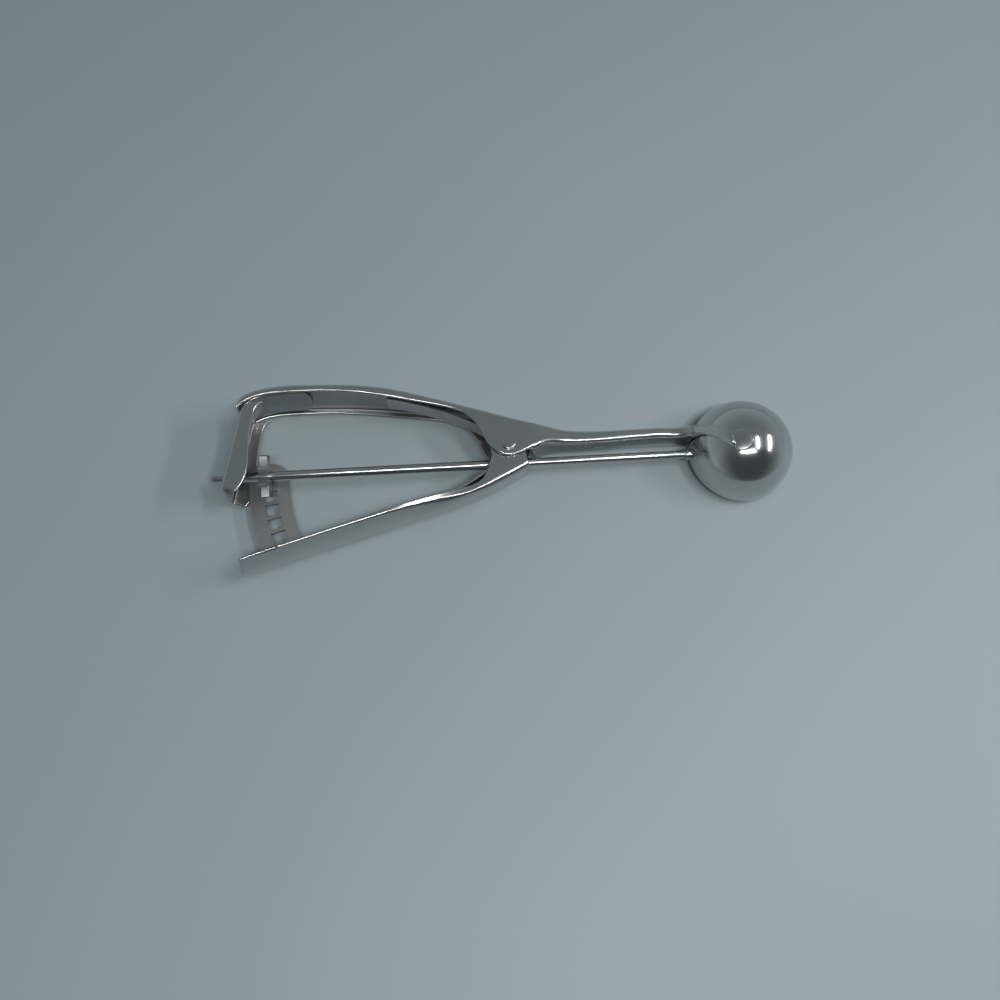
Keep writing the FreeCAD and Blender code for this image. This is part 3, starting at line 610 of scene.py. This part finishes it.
# Rear bracket: a short channel from the handle's rear end down past the rod, and a foot along the web's inside
def makeRearBracket():
    shape = {
        "web": [(-162.3, 22.2), (-165.0, 8.6), (-167.9, -5.4)],
        "edge": [(-155.6, 22.6), (-157.4, 21.0), (-158.4, 17.5), (-159.5, 9.0), (-161.2, -4.6), (-162.9, -7.2)],
        "halfWidth": 7.65,
        "wall": 0.8,
        "bend": 1.5,
        "footLine": [(-161.4, 22.0), (-160.1, 23.6), (-157.6, 24.95), (-150.5, 26.05), (-141.0, 26.12)],
        "footHalfWidth": 6.2,
        "footRound": 4.3,
        "rows": 90,
        "columns": 80,
        "footRows": 80,
        "footColumns": 30,
    }
    where = np.linspace(0, 1, shape["rows"])
    web, edge = curveThrough(shape["web"], where), curveThrough(shape["edge"], where)
    depth = np.full(len(web), shape["halfWidth"])
    skin = channel(web, edge, depth, shape["bend"], shape["wall"], shape["columns"], -1)
    line = curveThrough(shape["footLine"], np.linspace(0, 1, shape["footRows"]))
    short = np.clip((line[:, 0] - line[-1, 0] + shape["footRound"]) / shape["footRound"], 0, 0.999)
    half = shape["footHalfWidth"] - shape["footRound"] * (1 - np.sqrt(1 - short ** 2))
    across = shape["footColumns"]
    z = half[:, None] * np.linspace(-1, 1, across)
    foot = np.stack([np.repeat(line[:, :1], across, 1), np.repeat(line[:, 1:], across, 1), z], axis=-1)
    piece = makePiece("rearBracketSheet", [skin, sheetSkin(foot, shape["wall"], 1)], "rear_bracket")
    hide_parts("rear_bracket")


# Bowl: a hemisphere and a straight skirt spun about Z, inside and outside, joined by a half-round rim
def makeBowl():
    outer, inner, drop = bowl["radius"], bowl["radius"] - bowl["wall"], bowl["skirt"]
    a = np.linspace(math.pi / 2, 0, bowl["quarterSteps"])
    outside = [(outer * math.sin(v), outer * math.cos(v)) for v in a]
    inside = [(inner * math.sin(v), inner * math.cos(v)) for v in a[::-1]]
    half = bowl["wall"] / 2
    rim = [(-drop + half - half * math.sin(v), inner + half + half * math.cos(v))
           for v in np.linspace(0, math.pi, bowl["rimSteps"])]
    midSkirt = -drop * bowl["bandShare"]
    profile = outside + [(midSkirt, outer)] + rim + [(midSkirt, inner)] + inside
    piece = makePiece("bowlShell", [spun(profile, "z", (0, 0, 0), bowl["steps"])], "bowl")
    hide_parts("bowl")


# Round turned pieces: profiles of straight runs with rounded corners, spun about the rod or the rivet
def makeTurned():
    rivet = (-78.0, 4.7, 0)
    corner, steps, sharp = 0.15, 48, 40
    turned = {
        "drive_rod": ("x", [(-172.0, 0), (-172.0, 1.28), (-171.75, 1.5), (-15.6, 1.5), (-15.45, 1.3), (-15.45, 0)]),
        "rod_bearing": ("x", [(-18.8, 1.55), (-18.8, 2.0), (-16.75, 2.0), (-16.75, 1.55), (-18.8, 1.55)]),
        "rod_washer": ("x", [(-157.3, 1.51), (-157.3, 2.6), (-156.8, 2.6), (-156.8, 1.51), (-157.3, 1.51)]),
        "pivot_rivet": ("z", [(-7.0, 0), (-6.99, 1.95), (-6.8, 2.2), (-6.35, 2.2), (-6.25, 1.95), (-6.2, 1.6),
                              (6.2, 1.6), (6.25, 1.95), (6.35, 2.2), (6.8, 2.2), (6.99, 1.95), (7.0, 0)]),
    }
    for node, (axis, profile) in turned.items():
        centre = rivet if node == "pivot_rivet" else (0, 0, 0)
        skin = spun(roundProfile(profile, corner), axis, centre, steps)
        piece = makePiece(node + "_turned", [skin], node, sharp)
        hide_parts(node)


# Stamped and bent pieces whose CAD shape is right: a merged copy with its long edges broken by a small bevel
def makeEdged():
    edged = {"gear_rack": 0.14, "pinion": 0.16, "leaf_spring": 0.1, "sweeper_blade": 0.1, "blade_far_pin": 0.1}
    flatAngle, sharpAngle = math.radians(0.6), math.radians(32)
    for node, width in edged.items():
        mesh = bpy.data.objects[node].data.copy()
        work = bmesh.new()
        work.from_mesh(mesh)
        bmesh.ops.remove_doubles(work, verts=work.verts, dist=1e-6)
        bmesh.ops.dissolve_limit(work, angle_limit=flatAngle, verts=work.verts, edges=work.edges)
        work.to_mesh(mesh)
        work.free()
        mesh.shade_smooth()
        mesh.set_sharp_from_angle(angle=sharpAngle)
        mesh.materials.clear()
        mesh.materials.append(finishes[slotOf[node]])
        piece = bpy.data.objects.new(node + "_edged", mesh)
        bpy.context.collection.objects.link(piece)
        bevel = piece.modifiers.new("brokenEdges", "BEVEL")
        bevel.width = width * mm
        bevel.segments = 2
        bevel.limit_method = "ANGLE"
        bevel.angle_limit = sharpAngle
        bevel.harden_normals = True
        if node == "leaf_spring":   # its lower leaf bends with the lower handle, from the rod outwards; here it is only baked in place, tied to no body
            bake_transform(piece)
        else:
            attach(piece, bodyOf[node])
        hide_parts(node)


makeUpperHandle()
makeLowerHandle()
makeRearBracket()
makeBowl()
makeTurned()
makeEdged()
print("handles, bowl and turned pieces made")

# Stage, light and camera
stage = {
    "floorColour": (0.345, 0.41, 0.44),
    "floorSize": 4.0,
    "floorPatches": 9.0,
    "floorTone": 0.95,
    "floorRough": 0.5,
    "tilt": 2.249,              # the tool lies nose-down, with the far end of its rivet on the floor
    "touch": (-0.1023, -0.03483, -0.00231),
    "cameraPlace": (-0.0297, -0.09971, 0.25519),
    "cameraTurn": (20.211, -4.04, -4.905),
    "lens": 29.52,
    "zenith": (0.18, 0.212, 0.215),
    "horizon": (0.335, 0.385, 0.395),
    "shade": (0.06, -0.78, 0.62),  # the dim side of the room, and how much of its light is left
    "shadeLeft": 0.35,
    "shadeBand": (0.3, 0.85),
    "skyBand": (0.0, 0.7),
}


def makeFloor():
    mesh = bpy.data.meshes.new("floor")
    half = stage["floorSize"] / 2
    corners = [(-half, -half, 0), (half, -half, 0), (half, half, 0), (-half, half, 0)]
    mesh.from_pydata(corners, [], [(0, 1, 2, 3)])
    floor = bpy.data.objects.new("floor", mesh)
    bpy.context.collection.objects.link(floor)
    floor.location = stage["touch"]
    floor.rotation_euler = Euler((0, math.radians(-stage["tilt"]), 0))
    material = bpy.data.materials.new("paleFloor")
    material.use_nodes = True
    tree = material.node_tree
    shader = tree.nodes["Principled BSDF"]
    vector = addNode(tree, "ShaderNodeTexCoord").outputs["Object"]
    patch = noise(tree, vector, stage["floorPatches"], 3.0)
    pale = stage["floorColour"]
    colour = mixColour(tree, patch, pale, tuple(stage["floorTone"] * c for c in pale))
    tree.links.new(colour, shader.inputs["Base Color"])
    shader.inputs["Roughness"].default_value = stage["floorRough"]
    floor.data.materials.append(material)


def makeWorld():
    world = bpy.data.worlds.new("studio")
    bpy.context.scene.world = world
    world.use_nodes = True
    tree = world.node_tree
    background = tree.nodes["Background"]
    vector = addNode(tree, "ShaderNodeTexCoord").outputs["Generated"]
    split = addNode(tree, "ShaderNodeSeparateXYZ")
    tree.links.new(vector, split.inputs[0])
    rise = band(tree, split.outputs[2], *stage["skyBand"])
    facing = addNode(tree, "ShaderNodeVectorMath", operation="DOT_PRODUCT")
    tree.links.new(vector, facing.inputs[0])
    facing.inputs[1].default_value = stage["shade"]
    dim = band(tree, facing.outputs["Value"], *stage["shadeBand"])
    plain = mixColour(tree, rise, stage["horizon"], stage["zenith"])
    low = tuple(stage["shadeLeft"] * c for c in stage["zenith"])
    tree.links.new(mixColour(tree, dim, plain, low), background.inputs[0])
    background.inputs[1].default_value = 1.0


# Each lamp looks at its target, with its first side along the given direction
def areaLight(name, place, target, side, size, power):
    light = bpy.data.lights.new(name, "AREA")
    light.shape = "RECTANGLE"
    light.size, light.size_y = size
    light.energy = power
    lamp = bpy.data.objects.new(name, light)
    bpy.context.collection.objects.link(lamp)
    back = (Vector(place) - Vector(target)).normalized()
    up = back.cross(Vector(side)).normalized()
    turn = Matrix((up.cross(back), up, back)).transposed()
    lamp.location = place
    lamp.rotation_euler = turn.to_euler()


def makeCamera():
    data = bpy.data.cameras.new("photoCamera")
    data.sensor_width = 36.0
    data.lens = stage["lens"]
    data.clip_start = 0.01
    camera = bpy.data.objects.new("photoCamera", data)
    bpy.context.collection.objects.link(camera)
    camera.location = stage["cameraPlace"]
    camera.rotation_euler = Euler([math.radians(angle) for angle in stage["cameraTurn"]], "XYZ")
    bpy.context.scene.camera = camera


makeFloor()
makeWorld()
# Each lamp: place, target, first side's direction, size, watts
lamps = {
    "stripNear": ((0.348, -0.06, 0.775), (0.05, 0, 0), (0, 1, 0), (0.32, 0.02), 1.35),
    "stripFar": ((0.68, -0.03, 0.56), (0.05, 0, 0), (0, 1, 0), (0.38, 0.024), 1.6),
    "stripFront": ((0.03, -0.31, 0.77), (0, 0, 0), (1, 0, 0), (0.44, 0.022), 2.3),
}
for name, (place, target, side, size, power) in lamps.items():
    areaLight(name, place, target, side, size, power)
makeCamera()
bpy.context.scene.view_settings.view_transform = "Standard"
print("stage, lights and camera made")
